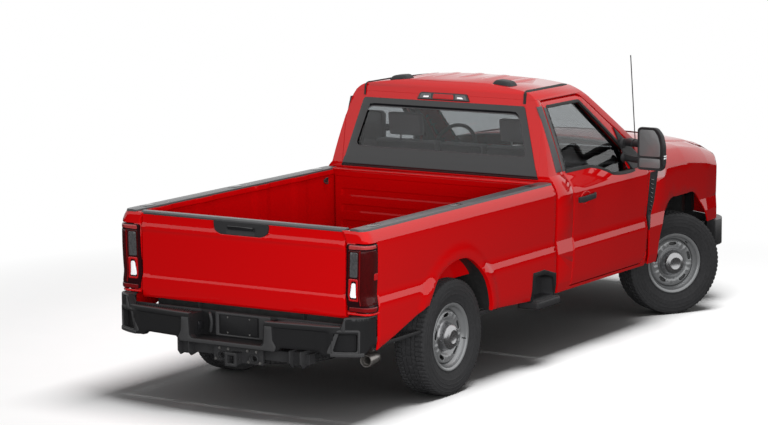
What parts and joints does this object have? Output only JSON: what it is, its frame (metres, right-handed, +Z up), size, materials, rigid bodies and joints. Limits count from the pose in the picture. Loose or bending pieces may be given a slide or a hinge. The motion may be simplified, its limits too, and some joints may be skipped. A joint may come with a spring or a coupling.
{
  "type": "pickup truck",
  "caption": "Heavy-duty pickup truck with a short cab, a long open cargo box with a drop tailgate, a step bumper and a tow receiver, its front wheels turned right.",
  "frame": {"origin": "on the ground, under the middle of the truck's overall box", "axes": "+X forward, +Y to the truck's left, +Z up"},
  "size_m": [5.888, 2.69, 2.0885],
  "materials": {
    "paint": "gloss",
    "black_plastic": "satin",
    "grey_plastic": "matt",
    "black_steel": "satin",
    "bare_steel": "dull",
    "wheel_steel": "silver",
    "cast_iron": "matt",
    "tyre_rubber": "matt",
    "glass": "tinted",
    "seat_fabric": "woven",
    "lamp_red": "gloss",
    "lamp_clear": "gloss"
  },
  "bodies": {
    "chassis": {"antenna": "black_steel", "box_floor": "paint", "box_front": "paint", "box_side_left": "paint", "box_side_right": "paint", "box_steps": "black_plastic", "cab_back": "paint", "cab_floor": "paint", "cab_glass": "glass", "cab_roof": "paint", "cab_side_left": "paint", "cab_side_right": "paint", "cowl": "black_plastic", "dashboard": "grey_plastic", "drive_shafts": "bare_steel", "engine": "cast_iron", "exhaust": "bare_steel", "fender_left": "paint", "fender_right": "paint", "fender_vents": "black_plastic", "frame_rails": "black_steel", "front_axle": "black_steel", "front_bumper": "black_steel", "front_support": "black_steel", "fuel_tank": "black_plastic", "grille": "black_plastic", "headlamps": "lamp_clear", "hitch": "black_steel", "rail_caps": "black_plastic", "rear_axle": "black_steel", "rear_bumper": "black_steel", "roof_lamps": "black_plastic", "seats": "seat_fabric", "spare_wheel": "tyre_rubber", "springs": "black_steel", "tail_lamps": "lamp_red"},
    "door_left": {"door_left": "paint", "door_glass_left": "glass", "mirror_left": "black_plastic"},
    "door_right": {"door_right": "paint", "door_glass_right": "glass", "mirror_right": "black_plastic"},
    "hood": {"hood": "paint"},
    "tailgate": {"tailgate": "paint"},
    "knuckle_left": {"knuckle_left": "cast_iron"},
    "knuckle_right": {"knuckle_right": "cast_iron"},
    "wheel_front_left": {"rim_front_left": "wheel_steel", "tyre_front_left": "tyre_rubber"},
    "wheel_front_right": {"rim_front_right": "wheel_steel", "tyre_front_right": "tyre_rubber"},
    "wheel_rear_left": {"rim_rear_left": "wheel_steel", "tyre_rear_left": "tyre_rubber"},
    "wheel_rear_right": {"rim_rear_right": "wheel_steel", "tyre_rear_right": "tyre_rubber"},
    "tie_rod": {"tie_rod": "bare_steel"},
    "drag_link": {"drag_link": "bare_steel"},
    "pitman_arm": {"pitman_arm": "cast_iron"},
    "steering_wheel": {"steering_wheel": "grey_plastic"}
  },
  "joints": [
    {"name": "door_left_hinge", "type": "hinge", "parent": "chassis", "child": "door_left", "pos_m": [1.238, 1.016, 0.9], "axis": [0, 0, -1], "range_deg": [0, 68]},
    {"name": "door_right_hinge", "type": "hinge", "parent": "chassis", "child": "door_right", "pos_m": [1.238, -1.016, 0.9], "axis": [0, 0, 1], "range_deg": [0, 68]},
    {"name": "hood_hinge", "type": "hinge", "parent": "chassis", "child": "hood", "pos_m": [1.445, 0, 1.419], "axis": [0, -1, 0], "range_deg": [0, 50]},
    {"name": "tailgate_hinge", "type": "hinge", "parent": "chassis", "child": "tailgate", "pos_m": [-2.704, 0, 0.74], "axis": [0, -1, 0], "range_deg": [0, 90]},
    {"name": "steer_left", "type": "hinge", "parent": "chassis", "child": "knuckle_left", "pos_m": [1.974, 0.731, 0.405], "axis": [0, 0, 1], "range_deg": [-2, 68]},
    {"name": "steer_right", "type": "hinge", "parent": "chassis", "child": "knuckle_right", "pos_m": [1.974, -0.731, 0.405], "axis": [0, 0, 1], "range_deg": [-2, 68]},
    {"name": "wheel_front_left_spin", "type": "hinge", "parent": "knuckle_left", "child": "wheel_front_left", "pos_m": [2.04834, 0.84548, 0.405], "axis": [0.5446, 0.8387, 0], "continuous": true},
    {"name": "wheel_front_right_spin", "type": "hinge", "parent": "knuckle_right", "child": "wheel_front_right", "pos_m": [1.89966, -0.84548, 0.405], "axis": [0.5446, 0.8387, 0], "continuous": true},
    {"name": "wheel_rear_left_spin", "type": "hinge", "parent": "chassis", "child": "wheel_rear_left", "pos_m": [-1.623, 0.8535, 0.405], "axis": [0, 1, 0], "continuous": true},
    {"name": "wheel_rear_right_spin", "type": "hinge", "parent": "chassis", "child": "wheel_rear_right", "pos_m": [-1.623, -0.8535, 0.405], "axis": [0, 1, 0], "continuous": true},
    {"name": "tie_rod_pivot", "type": "hinge", "parent": "knuckle_left", "child": "tie_rod", "pos_m": [2.15012, 0.61663, 0.326], "axis": [0, 0, 1], "range_deg": [-68, 2]},
    {"name": "pitman_shaft", "type": "hinge", "parent": "chassis", "child": "pitman_arm", "pos_m": [2.13, 0.341, 0.458], "axis": [0, 0, 1], "range_deg": [-2, 68]},
    {"name": "drag_link_pivot", "type": "hinge", "parent": "pitman_arm", "child": "drag_link", "pos_m": [2.30612, 0.22663, 0.484], "axis": [0, 0, 1], "range_deg": [-68, 2]},
    {"name": "steering_wheel_turn", "type": "hinge", "parent": "chassis", "child": "steering_wheel", "pos_m": [0.655, 0.366, 1.385], "axis": [-0.9135, 0, 0.4067], "range_deg": [-30, 1020]}
  ],
  "couplings": [
    {"joint": "steer_right", "follows": "steer_left", "ratio": 1},
    {"joint": "tie_rod_pivot", "follows": "steer_left", "ratio": -1},
    {"joint": "pitman_shaft", "follows": "steer_left", "ratio": 1},
    {"joint": "drag_link_pivot", "follows": "steer_left", "ratio": -1},
    {"joint": "steering_wheel_turn", "follows": "steer_left", "ratio": 15}
  ]
}
